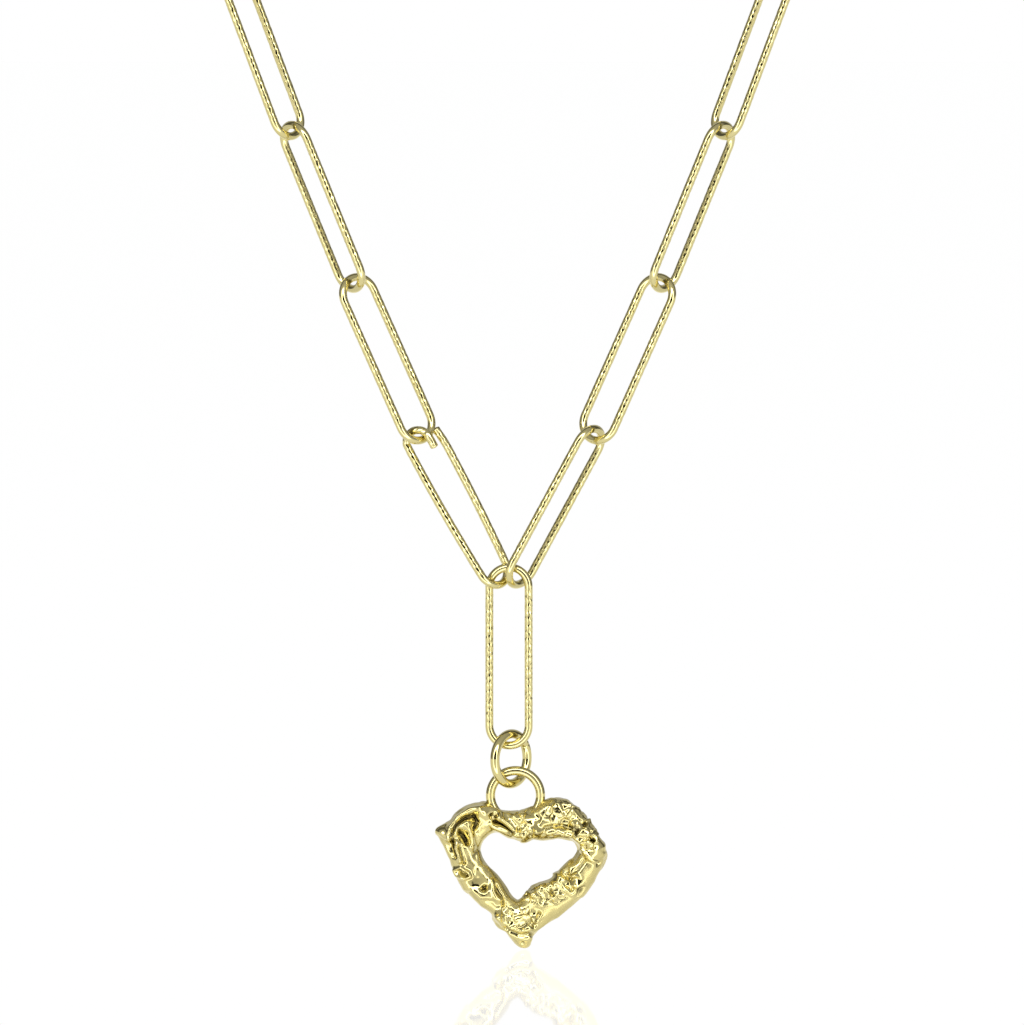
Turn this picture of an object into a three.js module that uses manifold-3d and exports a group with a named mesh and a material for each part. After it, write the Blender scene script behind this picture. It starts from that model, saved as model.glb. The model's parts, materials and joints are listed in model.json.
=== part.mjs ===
// A paperclip-chain necklace: an open nugget-cast heart hangs by a soldered bail, a jump ring and a
// drop link from the lowest point of a chain of long oval links, and a lobster clasp closes the
// chain at the nape.
//
// Millimetres, +Z up, X across the loop, and the front faces -Y. The necklace hangs closed from its
// clasp, in the XZ plane, and the origin is the point on the inner edge of the clasp that a peg or a
// neck bears on. The two strands mirror each other, link by link, apart from the way each link is
// turned about its own length.

import * as THREE from 'three';
import { mergeVertices } from 'three/addons/utils/BufferGeometryUtils.js';
import Module from 'manifold-3d';

const wasm = await Module();
wasm.setup();

// ---------------------------------------------------------------------------------------------
// Driving dimensions
// ---------------------------------------------------------------------------------------------

// Chain
const LINKS_PER_SIDE = 13;
const WIRE = 0.82; // diameter of the chain wire
const LINK_LENGTH = 18.32; // outside, along the link
const LINK_WIDTH = 4.77; // outside, across the link
const THREAD_GAP = 0.2; // daylight between two wires that are threaded through each other
const OPEN_SQUEEZE = 0.45; // how much narrower the one link is that was opened and squeezed shut
const DROP_LENGTH = 18.57; // outside length of the link that carries the pendant
const APEX_SPREAD_SHARE = 0.6076; // of a bend's radius: how far apart the two lowest strand links sit on the drop link
const APEX_ROOM_SHARE = 0.42; // of the wire: more daylight there, where three wires cross

// How far each strand link leans from the vertical, from the pendant up. The links above these
// keep the last lean as far as V_LINKS, and the rest close over the neck in equal turns.
const V_LEANS = [28.4, 24.0, 22.2, 20.5];
const V_LINKS = 8;

// How far each link is turned about its own length. A positive turn brings its left leg forward.
const RIGHT_TURNS = [55, -37, 54, -52];
const LEFT_TURNS = [0, 38, -54, 50];
const USUAL_TURN = 45;
const DROP_TURN = -6;
const DROP_ASIDE = 0.15; // of the drop link and all below it, from the middle of the two strands

// Pendant
const JUMP_RING = { wire: 1.0, middle: 2.5, turn: 50, aside: 0.2 }; // middle is the wire's radius
const BAIL = { wire: 1.0, middle: 2.5, aside: 0.65 };
const HEART_WIDTH = 17.1;
const HEART_HEIGHT = 15.4;
const HEART_DEPTH = 3.2; // front to back
const HEART_ASIDE = 0.65; // of the heart's middle from the bail's
const BAIL_ABOVE_HEART = 6.9; // the bail's centre above the heart's middle
const SOLDER_GAP = 0.3; // between the bail's feet and the heart
const JUMP_RING_GAP = 0.2; // daylight between the jump ring and the drop link
const BAIL_GAP = 0.32; // daylight between the bail and the jump ring

// Clasp
const SPLIT_WIRE = 0.7; // wire of the clasp's two rings
const SPLIT_MIDDLE = 2.2; // radius of their wire's middle
const SPLIT_TURN = 60;
const CLASP_THICK = 2.6;
const HOOK_WIRE = 1.2;
const HOOK_RADIUS = 1.9; // of the hook's round end, at the wire's middle
const HOOK_CENTRE = 3.8; // of that round end, from the clasp's middle
const HOOK_TIP_ANGLE = 100; // where the hook's arc ends, from the clasp's length
const EYE_CENTRE = -5.0;
const EYE_MIDDLE = 1.05; // radius of the tail eye's bar, at its middle
const EYE_BAR = 0.84; // its thickness
const PIVOT = { x: -1.2, z: 0.2 };
const RIVET_RADIUS = 0.35;
const RIVET_CLEARANCE = 0.1;
const LEVER_THICK = 0.8;
const LEVER_CLEARANCE = 0.25; // on each side, in the clasp's slot
const GATE_WIDE = 2.2;
const GATE_GAP = 0.25; // between the gate's tip and the hook's
const GATE_RISE = { low: -0.45, high: 0.4 }; // the gate's faces, from the middle of the hook's wire
const BLOCK_NOSE = 1.0; // how far the clasp's middle block runs towards the hook
const SLOT = { from: -3.0, to: 0.6 };
const SPRING = { wire: 0.18, radius: 0.36, turns: 3.5, z: -0.75, pocket: 0.6, depth: 0.75 };
const SPRING_GAP = 0.12; // at each end of the coil
const POCKET_OVERRUN = 0.5; // how far the pocket's cut runs on into the slot
const LEVER_BACK = -2.05; // the lever's edge that the coil presses on

// Facets
const WIRE_SIDES = 8;
const BEND_STEPS = 6;
const RING_STEPS = 20;

// Sizes that follow from those
const BEND_RADIUS = (LINK_WIDTH - WIRE) / 2;
const APEX_SPREAD = APEX_SPREAD_SHARE * BEND_RADIUS;
const LINK_SPAN = LINK_LENGTH - WIRE; // between the middles of a link's two end bends
const DROP_SPAN = DROP_LENGTH - WIRE;
const THREAD = WIRE + THREAD_GAP;
const radians = THREE.MathUtils.degToRad;

// ---------------------------------------------------------------------------------------------
// Materials
// ---------------------------------------------------------------------------------------------

const gold = (roughness) =>
  new THREE.MeshStandardMaterial({ color: 0xd9cc86, metalness: 1, roughness });
const steel = () => new THREE.MeshStandardMaterial({ color: 0xb9bab5, metalness: 1, roughness: 0.3 });

// ---------------------------------------------------------------------------------------------
// Solids: joining, cutting and sweeping
// ---------------------------------------------------------------------------------------------

function toSolid(geometry) {
  const bare = geometry.index ? geometry.clone() : geometry;
  for (const name of ['normal', 'uv', 'color']) bare.deleteAttribute(name);
  const merged = mergeVertices(bare, 1e-4);
  return new wasm.Manifold(
    new wasm.Mesh({
      numProp: 3,
      vertProperties: new Float32Array(merged.attributes.position.array),
      triVerts: new Uint32Array(merged.index.array),
    }),
  );
}

function toGeometry(solid) {
  const mesh = solid.getMesh();
  const geometry = new THREE.BufferGeometry();
  geometry.setAttribute('position', new THREE.BufferAttribute(mesh.vertProperties, 3));
  geometry.setIndex(new THREE.BufferAttribute(mesh.triVerts, 1));
  return geometry;
}

// A curve whose steps fall where its own parameter puts them, so that a straight leg is one step.
class SteppedCurve extends THREE.Curve {
  constructor(pointAt) {
    super();
    this.pointAt = pointAt;
  }

  getPoint(t, target = new THREE.Vector3()) {
    return target.copy(this.pointAt(t));
  }

  getUtoTmapping(u) {
    return u;
  }
}

function roundSection(radius, sides = WIRE_SIDES) {
  const corners = [];
  for (let i = 0; i < sides; i += 1) {
    const angle = ((i + 0.5) / sides) * 2 * Math.PI;
    corners.push(new THREE.Vector2(radius * Math.cos(angle), radius * Math.sin(angle)));
  }
  return new THREE.Shape(corners);
}

function sweep(curve, radius, steps, sides = WIRE_SIDES) {
  return new THREE.ExtrudeGeometry(roundSection(radius, sides), {
    extrudePath: curve,
    steps,
    bevelEnabled: false,
  });
}

const SEAM = 2e-3; // corners this near each other are one where a wire's two ends meet

// A wire that closes on itself. Its two lids would lie against each other, so only the walls stay.
function sweepClosed(curve, radius, steps) {
  const swept = sweep(curve, radius, steps);
  const walls = swept.groups[1];
  const from = walls.start * 3;
  const geometry = new THREE.BufferGeometry();
  const corners = swept.attributes.position.array.slice(from, from + walls.count * 3);
  geometry.setAttribute('position', new THREE.BufferAttribute(corners, 3));
  return mergeVertices(geometry, SEAM);
}

// A flat outline in the XZ plane, given depth along Y about y = 0.
function plate(outline, depth) {
  const geometry = new THREE.ExtrudeGeometry(outline, { depth, bevelEnabled: false, curveSegments: 8 });
  geometry.rotateX(Math.PI / 2);
  geometry.translate(0, depth / 2, 0);
  return geometry;
}

function pin(radius, length, x, z, sides = 12) {
  const geometry = new THREE.CylinderGeometry(radius, radius, length, sides);
  geometry.translate(x, 0, z);
  return geometry;
}

// ---------------------------------------------------------------------------------------------
// Chain pieces. Each lies along Z in its own frame, its lower bend's middle at the origin.
// ---------------------------------------------------------------------------------------------

const HALF_STEPS = BEND_STEPS + 2; // one bend, and half of the leg on each side of it

// An oval of two half circles and two straight legs, from the middle of its right leg.
function ovalPoint(t, radius, span) {
  const along = t * 2 * HALF_STEPS;
  const half = along < HALF_STEPS ? 1 : -1;
  const step = half > 0 ? along : along - HALF_STEPS;
  const legHalf = span / 2 - radius;
  if (step < 1) return new THREE.Vector3(half * radius, 0, span / 2 + half * step * legHalf);
  if (step > HALF_STEPS - 1) {
    return new THREE.Vector3(-half * radius, 0, span / 2 + half * (HALF_STEPS - step) * legHalf);
  }
  const angle = ((step - 1) / BEND_STEPS) * Math.PI;
  const rise = legHalf + radius * Math.sin(angle);
  return new THREE.Vector3(half * radius * Math.cos(angle), 0, span / 2 + half * rise);
}

function ovalLink(span, radius = BEND_RADIUS) {
  const curve = new SteppedCurve((t) => ovalPoint(t, radius, span));
  return sweepClosed(curve, WIRE / 2, 2 * HALF_STEPS);
}

// A curve through hand-placed stations, each joined to the next by one straight step.
function stations(points) {
  const last = points.length - 1;
  return new SteppedCurve((t) => {
    const along = THREE.MathUtils.clamp(t * last, 0, last);
    const index = Math.min(Math.floor(along), last - 1);
    return points[index].clone().lerp(points[index + 1], along - index);
  });
}

// The link that was opened to thread the drop link on, and never soldered. It is squeezed narrower
// than its neighbours and twisted along its length. Its upper bend is tighter than the link is
// wide, and its cut end laps in front of the right leg, whose own end stands free.
const OPEN_TWIST = { low: 46, high: -10 };
const OPEN_TOP_RADIUS = 1.2;
const OPEN_TOP_ROOM = 0.25; // the tight bend stands this much higher than an ordinary link's
const OPEN_LAP = 1.3; // how far the cut end comes down past the bend
const OPEN_FREE_END = -0.6; // how far the right leg's end stands above the bend's middle
const OPEN_LAP_FORWARD = 0.75; // how far the cut end lies in front of the right leg
const OPEN_FREE_IN = 0.15; // how far the right leg's end is bent inwards

function openLink() {
  const radius = BEND_RADIUS - OPEN_SQUEEZE / 2;
  const topMiddle = new THREE.Vector2(OPEN_TOP_RADIUS - radius, LINK_SPAN + OPEN_TOP_ROOM - OPEN_TOP_RADIUS);
  const points = [];
  const place = (x, z, forward = 0) => {
    const share = THREE.MathUtils.clamp(z / LINK_SPAN, 0, 1);
    const turn = radians(THREE.MathUtils.lerp(OPEN_TWIST.low, OPEN_TWIST.high, share));
    points.push(new THREE.Vector3(x * Math.cos(turn), x * Math.sin(turn) - forward, z));
  };
  place(topMiddle.x + OPEN_TOP_RADIUS, topMiddle.y - OPEN_LAP, OPEN_LAP_FORWARD);
  for (let i = 0; i <= BEND_STEPS; i += 1) {
    const angle = (i / BEND_STEPS) * Math.PI;
    const forward = OPEN_LAP_FORWARD * (1 - i / BEND_STEPS) ** 2;
    const x = topMiddle.x + OPEN_TOP_RADIUS * Math.cos(angle);
    place(x, topMiddle.y + OPEN_TOP_RADIUS * Math.sin(angle), forward);
  }
  for (const share of [0.75, 0.5, 0.25]) place(-radius, LINK_SPAN * share);
  for (let i = 0; i <= BEND_STEPS; i += 1) {
    const angle = Math.PI + (i / BEND_STEPS) * Math.PI;
    place(radius * Math.cos(angle), radius + radius * Math.sin(angle));
  }
  for (const share of [0.25, 0.5, 0.75, 0.86]) place(radius, LINK_SPAN * share);
  place(radius - OPEN_FREE_IN, LINK_SPAN + OPEN_FREE_END);
  return sweep(stations(points), WIRE / 2, points.length - 1);
}

// A round ring that stands on the origin, its wire's lowest middle there.
function roundRing(middle, wire) {
  const geometry = new THREE.TorusGeometry(middle, wire / 2, WIRE_SIDES, RING_STEPS);
  geometry.rotateX(Math.PI / 2);
  geometry.translate(0, 0, middle);
  return geometry;
}

// ---------------------------------------------------------------------------------------------
// Pendant
// ---------------------------------------------------------------------------------------------

// The cast heart about its middle, as if it were 17.1 wide and 15.4 high: each station is a point of
// the outer edge and the point of the opening's edge across from it, from the dip between the
// lobes round the left lobe, the tip and the right lobe. It is cast from a hand-worked wax, so
// the two sides differ.
const STATIONS = [
  [-0.6, 5.4, 0.2, 2.1], [-2.2, 5.6, -0.9, 2.45], [-3.4, 6.25, -2.2, 3.2], [-5.3, 6.1, -3.0, 3.15],
  [-6.7, 5.3, -3.6, 2.8], [-7.5, 4.2, -3.9, 2.2], [-8.5, 3.3, -4.0, 1.7], [-7.9, 1.9, -3.95, 1.2],
  [-7.4, 0.4, -3.8, 0.6], [-6.7, -1.2, -3.2, -0.3], [-5.7, -2.8, -2.5, -1.0], [-4.3, -4.1, -2.0, -1.6],
  [-3.1, -5.0, -1.5, -2.3], [-2.6, -6.1, -1.1, -2.9], [-1.5, -7.2, -0.7, -3.3], [-0.1, -8.35, -0.4, -3.5],
  [0.8, -8.2, 0.0, -3.3], [1.2, -7.2, 0.4, -2.9], [2.6, -6.1, 1.0, -2.2], [4.4, -4.7, 2.0, -1.8],
  [5.9, -3.4, 2.9, -1.4], [7.1, -1.7, 3.8, -0.5], [8.2, -0.2, 4.6, 0.3], [8.5, 0.9, 5.2, 0.9],
  [8.1, 2.1, 5.5, 1.5], [7.1, 3.9, 5.1, 2.15], [5.9, 5.3, 4.3, 2.4], [4.7, 6.4, 3.6, 2.5],
  [3.5, 6.85, 2.9, 2.35], [2.2, 6.5, 2.2, 2.3], [1.0, 5.75, 1.2, 2.4],
];
const DRAWN_WIDTH = 17.1;
const DRAWN_HEIGHT = 15.4;
const HEART_STEPS = 48;

// The frame's section: how far across it from the opening to the outer edge, and how far back.
// Its back is flat and its front is crowned.
const HEART_SECTION = [
  [0, 0.55], [0, -0.35], [0.18, -0.8], [0.5, -1], [0.82, -0.8], [1, -0.35], [1, 0.55], [0.85, 1], [0.15, 1],
];

function smoothLoop(column) {
  const corners = STATIONS.map((station) => {
    const [x, z] = station.slice(column, column + 2);
    return new THREE.Vector3((x * HEART_WIDTH) / DRAWN_WIDTH, 0, (z * HEART_HEIGHT) / DRAWN_HEIGHT);
  });
  return new THREE.CatmullRomCurve3(corners, true).getPoints(HEART_STEPS).slice(0, HEART_STEPS);
}

// The section carried round the heart, as rows of corners that close in both directions.
function heartFrame() {
  const outer = smoothLoop(0);
  const inner = smoothLoop(2);
  const across = HEART_SECTION.length;
  const corners = [];
  const faces = [];
  for (let i = 0; i < HEART_STEPS; i += 1) {
    HEART_SECTION.forEach(([share, back], j) => {
      const corner = inner[i].clone().lerp(outer[i], share);
      corners.push(corner.x, (back * HEART_DEPTH) / 2, corner.z);
      const next = ((i + 1) % HEART_STEPS) * across;
      const [a, b] = [i * across + j, i * across + ((j + 1) % across)];
      const [c, d] = [next + j, next + ((j + 1) % across)];
      faces.push(a, b, c, b, d, c);
    });
  }
  const geometry = new THREE.BufferGeometry();
  geometry.setAttribute('position', new THREE.Float32BufferAttribute(corners, 3));
  geometry.setIndex(faces);
  return geometry;
}

// The heart without its opening, grown all round by the solder gap, to cut the bail's feet to it.
// A bevel is what grows the outline, so it has a little thickness of its own.
function heartAndGap() {
  const outline = new THREE.Shape(smoothLoop(0).map((corner) => new THREE.Vector2(corner.x, corner.z)));
  const geometry = new THREE.ExtrudeGeometry(outline, {
    depth: 2 * BAIL.wire,
    bevelThickness: 0.1,
    bevelSize: 0,
    bevelOffset: SOLDER_GAP,
    bevelSegments: 1,
  });
  geometry.rotateX(Math.PI / 2);
  geometry.translate(0, BAIL.wire, 0);
  return geometry;
}

// A round ring about its own centre, in the frame of the heart's middle, cut where the heart is.
function bail() {
  const ring = new THREE.TorusGeometry(BAIL.middle, BAIL.wire / 2, WIRE_SIDES, RING_STEPS);
  ring.rotateX(Math.PI / 2);
  ring.translate(-HEART_ASIDE, 0, BAIL_ABOVE_HEART);
  return toGeometry(toSolid(ring).subtract(toSolid(heartAndGap())));
}

// ---------------------------------------------------------------------------------------------
// Clasp, in the frame of its own middle: the hook towards +X, the gate on top, the spine below
// ---------------------------------------------------------------------------------------------

const HOOK_ROUND = HOOK_RADIUS + HOOK_WIRE / 2; // the hook's outer radius
const SPINE_Z = -HOOK_RADIUS; // of the wire's middle along the spine

function claspHook() {
  const turns = 10;
  const points = [new THREE.Vector3(0, 0, SPINE_Z), new THREE.Vector3(HOOK_CENTRE / 2, 0, SPINE_Z)];
  for (let i = 0; i <= turns; i += 1) {
    const angle = radians(-90 + ((90 + HOOK_TIP_ANGLE) * i) / turns);
    points.push(
      new THREE.Vector3(HOOK_CENTRE + HOOK_RADIUS * Math.cos(angle), 0, HOOK_RADIUS * Math.sin(angle)),
    );
  }
  return sweep(stations(points), HOOK_WIRE / 2, points.length - 1, 10);
}

// The middle of the clasp, a tapered block that carries the lever between its two cheeks.
function claspBlock() {
  const outline = new THREE.Shape();
  const neck = EYE_CENTRE + EYE_MIDDLE;
  outline.moveTo(neck, -0.55);
  outline.quadraticCurveTo(-2.8, -2.1, 0.2, -HOOK_ROUND);
  outline.lineTo(BLOCK_NOSE, -HOOK_ROUND);
  outline.lineTo(BLOCK_NOSE, SPINE_Z + HOOK_WIRE / 2);
  outline.quadraticCurveTo(-0.2, -1.1, -0.3, 0.2);
  outline.quadraticCurveTo(-0.35, 1.0, -0.7, 2.0);
  outline.quadraticCurveTo(-2.6, 1.7, neck, 0.55);
  return plate(outline, CLASP_THICK);
}

function claspBody() {
  const eye = new THREE.TorusGeometry(EYE_MIDDLE, EYE_BAR / 2, WIRE_SIDES, 16);
  eye.rotateX(Math.PI / 2);
  eye.translate(EYE_CENTRE, 0, 0);

  const slotWide = LEVER_THICK + 2 * LEVER_CLEARANCE;
  const slot = new THREE.BoxGeometry(SLOT.to - SLOT.from, slotWide, 4 * HOOK_ROUND);
  slot.translate((SLOT.to + SLOT.from) / 2, 0, 0);

  const cut = SPRING.depth + POCKET_OVERRUN;
  const pocket = new THREE.CylinderGeometry(SPRING.pocket, SPRING.pocket, cut, 10);
  pocket.rotateZ(Math.PI / 2);
  pocket.translate(SLOT.from - SPRING.depth + cut / 2, 0, SPRING.z);

  const solid = toSolid(claspBlock())
    .add(toSolid(claspHook()))
    .add(toSolid(eye))
    .subtract(toSolid(slot))
    .subtract(toSolid(pocket))
    .subtract(toSolid(pin(RIVET_RADIUS + RIVET_CLEARANCE, 2 * CLASP_THICK, PIVOT.x, PIVOT.z)));
  return toGeometry(solid);
}

// The lever turns on the rivet. Its gate closes the hook, and its thumb tab comes out past the spine.
function claspLever() {
  const tipX = HOOK_CENTRE + HOOK_RADIUS * Math.cos(radians(HOOK_TIP_ANGLE)) - GATE_GAP;
  const gateLow = HOOK_RADIUS + GATE_RISE.low;
  const gateHigh = HOOK_RADIUS + GATE_RISE.high;

  const root = new THREE.Shape();
  root.moveTo(0.4, gateLow);
  root.lineTo(0.4, gateHigh - 0.1);
  root.quadraticCurveTo(-1.2, gateHigh, -1.9, 1.2);
  root.lineTo(-2.1, -0.2);
  root.lineTo(-1.95, -2.6);
  root.lineTo(-2.1, -3.7);
  root.lineTo(-1.2, -3.8);
  root.lineTo(-0.7, -2.4);
  root.lineTo(-0.45, -0.6);
  root.quadraticCurveTo(-0.2, 0.9, 0.4, gateLow);

  const gate = new THREE.Shape();
  gate.moveTo(0, gateLow);
  gate.lineTo(0, gateHigh - 0.1);
  gate.lineTo(tipX - 0.25, gateHigh);
  gate.lineTo(tipX, gateHigh - 0.25);
  gate.lineTo(tipX, gateLow);

  const solid = toSolid(plate(root, LEVER_THICK))
    .add(toSolid(plate(gate, GATE_WIDE)))
    .subtract(toSolid(pin(RIVET_RADIUS + RIVET_CLEARANCE, 2 * CLASP_THICK, PIVOT.x, PIVOT.z)));
  return toGeometry(solid);
}

function claspSpring() {
  const from = SLOT.from - SPRING.depth + SPRING_GAP + SPRING.wire / 2;
  const to = LEVER_BACK - SPRING_GAP - SPRING.wire / 2;
  const steps = Math.round(SPRING.turns * 8);
  const coil = new SteppedCurve((t) => {
    const angle = t * SPRING.turns * 2 * Math.PI;
    return new THREE.Vector3(
      THREE.MathUtils.lerp(from, to, t),
      SPRING.radius * Math.cos(angle),
      SPRING.z + SPRING.radius * Math.sin(angle),
    );
  });
  return sweep(coil, SPRING.wire / 2, steps, 5);
}

// ---------------------------------------------------------------------------------------------
// Where everything hangs
// ---------------------------------------------------------------------------------------------

// The clasp is set so that its two rings pull at mirrored places.
const hookRingX = HOOK_CENTRE + HOOK_RADIUS - HOOK_WIRE / 2 - SPLIT_WIRE / 2 - THREAD_GAP;
const eyeRingX = EYE_CENTRE - EYE_MIDDLE + EYE_BAR / 2 + SPLIT_WIRE / 2 + THREAD_GAP;
const CLASP_X = -(hookRingX + eyeRingX) / 2;
const RING_TOP_X = (hookRingX - eyeRingX) / 2;
const CLASP_Z = HOOK_ROUND;

const chainDirection = (lean) => new THREE.Vector3(Math.sin(radians(lean)), 0, Math.cos(radians(lean)));

// The lean of every link and of the ring above them, when the arch turns by archTurn at each.
function leans(archTurn) {
  const all = [];
  for (let i = 0; i <= LINKS_PER_SIDE; i += 1) {
    const inArch = Math.max(0, i - V_LINKS + 1);
    all.push((V_LEANS[i] ?? V_LEANS[V_LEANS.length - 1]) - archTurn * inArch);
  }
  return all;
}

// The right strand from its lowest bend, at height 0, up to the ring's highest wire.
function layStrand(archTurn) {
  const at = new THREE.Vector3(APEX_SPREAD / 2, 0, 0);
  const places = [];
  const all = leans(archTurn);
  all.forEach((lean, i) => {
    places.push({ lean, low: at.clone() });
    const isRing = i === LINKS_PER_SIDE;
    const threads = i === LINKS_PER_SIDE - 1 ? (WIRE + SPLIT_WIRE) / 2 + THREAD_GAP : THREAD;
    const rise = isRing ? 2 * SPLIT_MIDDLE : LINK_SPAN - threads;
    at.addScaledVector(chainDirection(lean), rise);
  });
  return { places, top: at };
}

// Halving finds the arch that ends where the clasp holds the ring.
function closingTurn() {
  let low = 5;
  let high = 30;
  for (let i = 0; i < 60; i += 1) {
    const middle = (low + high) / 2;
    if (layStrand(middle).top.x > RING_TOP_X) low = middle;
    else high = middle;
  }
  return (low + high) / 2;
}

const strand = layStrand(closingTurn());
const APEX_Z = CLASP_Z - strand.top.z; // the lowest bends of the two strands

// ---------------------------------------------------------------------------------------------
// The necklace
// ---------------------------------------------------------------------------------------------

const necklace = new THREE.Group();

function addPiece(name, geometry, material, parent = necklace) {
  const mesh = new THREE.Mesh(geometry, material);
  mesh.name = name;
  parent.add(mesh);
  return mesh;
}

// One place on a strand: side is 1 on the right and -1 on the left.
function strandGroup(place, side, turn) {
  const leaning = new THREE.Group();
  leaning.position.set(side * place.low.x, 0, place.low.z + APEX_Z);
  leaning.rotation.y = radians(side * place.lean);
  const turned = new THREE.Group();
  turned.rotation.z = radians(turn);
  leaning.add(turned);
  necklace.add(leaning);
  return turned;
}

for (const [name, side, turns] of [['right', 1, RIGHT_TURNS], ['left', -1, LEFT_TURNS]]) {
  for (let i = 0; i < LINKS_PER_SIDE; i += 1) {
    const alternate = i % 2 ? -side : side;
    const isOpen = side === -1 && i === 0;
    const turn = turns[i] ?? alternate * USUAL_TURN;
    const geometry = isOpen ? openLink() : ovalLink(LINK_SPAN);
    const number = String(i + 1).padStart(2, '0');
    addPiece(`${name}_link_${number}`, geometry, gold(0.24), strandGroup(strand.places[i], side, turn));
  }
}

const ringPlace = strand.places[LINKS_PER_SIDE];
const ringGroups = [1, -1].map((side) => strandGroup(ringPlace, side, -side * SPLIT_TURN));
addPiece('end_ring', roundRing(SPLIT_MIDDLE, SPLIT_WIRE), gold(0.14), ringGroups[0]);
addPiece('clasp_ring', roundRing(SPLIT_MIDDLE, SPLIT_WIRE), gold(0.14), ringGroups[1]);

// The drop link's upper bend passes over both lowest bends, a little above them where it curves down.
const bendSlope = Math.asin((APEX_SPREAD / 2 + DROP_ASIDE) / BEND_RADIUS);
const bendDrop = BEND_RADIUS * (1 - Math.cos(bendSlope));
const dropTop = APEX_Z + THREAD / Math.cos(bendSlope) + APEX_ROOM_SHARE * WIRE + bendDrop;
const dropLow = dropTop - DROP_SPAN;
const dropLink = addPiece('drop_link', ovalLink(DROP_SPAN), gold(0.24));
dropLink.position.set(DROP_ASIDE, 0, dropLow);
dropLink.rotation.z = radians(DROP_TURN);

const ringLow = dropLow + (WIRE + JUMP_RING.wire) / 2 + JUMP_RING_GAP - 2 * JUMP_RING.middle;
const jumpRing = addPiece('jump_ring', roundRing(JUMP_RING.middle, JUMP_RING.wire), gold(0.12));
jumpRing.position.set(DROP_ASIDE + JUMP_RING.aside, 0, ringLow);
jumpRing.rotation.z = radians(JUMP_RING.turn);

const bailTop = ringLow + (JUMP_RING.wire + BAIL.wire) / 2 + BAIL_GAP;
const pendant = new THREE.Group();
pendant.position.set(DROP_ASIDE + BAIL.aside + HEART_ASIDE, 0, bailTop - BAIL.middle - BAIL_ABOVE_HEART);
necklace.add(pendant);
addPiece('bail', bail(), gold(0.12), pendant);
addPiece('heart', heartFrame(), gold(0.2), pendant);

const clasp = new THREE.Group();
clasp.position.set(CLASP_X, 0, CLASP_Z);
necklace.add(clasp);
addPiece('clasp_body', claspBody(), gold(0.16), clasp);
addPiece('clasp_lever', claspLever(), gold(0.16), clasp);
addPiece('clasp_spring', claspSpring(), steel(), clasp);
addPiece('clasp_rivet', pin(RIVET_RADIUS, CLASP_THICK, PIVOT.x, PIVOT.z), gold(0.2), clasp);

export default necklace;
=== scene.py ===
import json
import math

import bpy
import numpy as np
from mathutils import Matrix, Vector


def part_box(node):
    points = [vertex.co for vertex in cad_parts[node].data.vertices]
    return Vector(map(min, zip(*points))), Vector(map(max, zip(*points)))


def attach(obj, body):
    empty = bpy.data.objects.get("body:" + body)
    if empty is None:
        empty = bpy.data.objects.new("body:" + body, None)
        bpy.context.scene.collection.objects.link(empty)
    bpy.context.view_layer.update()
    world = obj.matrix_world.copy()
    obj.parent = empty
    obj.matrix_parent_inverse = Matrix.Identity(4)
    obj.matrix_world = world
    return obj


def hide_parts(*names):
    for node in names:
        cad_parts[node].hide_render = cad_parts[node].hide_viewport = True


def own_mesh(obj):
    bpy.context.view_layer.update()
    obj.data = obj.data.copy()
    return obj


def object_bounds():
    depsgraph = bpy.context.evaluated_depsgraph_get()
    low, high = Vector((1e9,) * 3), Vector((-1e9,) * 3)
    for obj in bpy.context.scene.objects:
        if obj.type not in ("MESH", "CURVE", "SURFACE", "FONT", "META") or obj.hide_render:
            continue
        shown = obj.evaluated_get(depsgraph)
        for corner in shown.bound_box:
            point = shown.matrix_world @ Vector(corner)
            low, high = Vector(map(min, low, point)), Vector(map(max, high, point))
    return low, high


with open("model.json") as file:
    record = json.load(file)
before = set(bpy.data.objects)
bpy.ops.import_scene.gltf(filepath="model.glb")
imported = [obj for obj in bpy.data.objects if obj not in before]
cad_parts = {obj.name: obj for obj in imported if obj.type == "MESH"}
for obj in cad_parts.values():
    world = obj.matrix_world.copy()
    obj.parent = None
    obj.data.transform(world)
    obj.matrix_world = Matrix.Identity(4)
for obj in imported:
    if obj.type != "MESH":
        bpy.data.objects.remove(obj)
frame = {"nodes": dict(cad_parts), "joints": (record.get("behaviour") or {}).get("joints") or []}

# A paperclip-chain necklace with an open, hand-worked cast heart. Every visible piece is a surface
# worked out here round its CAD solid: the chain from diamond-cut wire, the rings from plain polished
# wire, the heart as a section carried round its frame, and the clasp as softened castings.
# Metres, +Z up, X across the loop, and the front faces -Y.

CAD_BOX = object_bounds()

MM = 0.001
TURN = 2 * math.pi

# ---------------------------------------------------------------------------------------------
# Sizes
# ---------------------------------------------------------------------------------------------

LINKS_PER_SIDE = 13
WIRE = 0.83 * MM  # chain wire
LINK_SPAN = 17.5 * MM  # between the middles of a link's two end bends
LINK_MIDDLE = 3.95 * MM  # across a link, between the middles of its legs
DROP_SPAN = 17.75 * MM
SETTLE = 0.05 * MM  # how much further each end bend reaches, so that threaded wires almost touch
RING_WIRE = 0.94 * MM  # jump ring and bail
RING_MIDDLE = 2.5 * MM  # radius of their wire's middle
SPLIT_WIRE = 0.7 * MM  # the clasp's two rings
SPLIT_MIDDLE = 2.2 * MM

# The cutter's marks on the chain wire
CUT_PITCH = 0.86 * MM
CUT_COLUMNS = 10
CUT_HOLLOW = 190.0  # how fast a cut's floor curves up along the wire, per metre
CUT_APOTHEM = 0.952  # of the wire's radius
CUT_SLANT = 0.5  # of a column, over one pitch
CUT_DRIFT = 3.1 * MM  # of wire, over which the columns wind round it by one column
CUT_FADE = 1.3 * MM  # over which the marks fade where a leg turns into a bend
CUT_IN_BEND = 0.12  # how much of the marks is left in a bend

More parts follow.
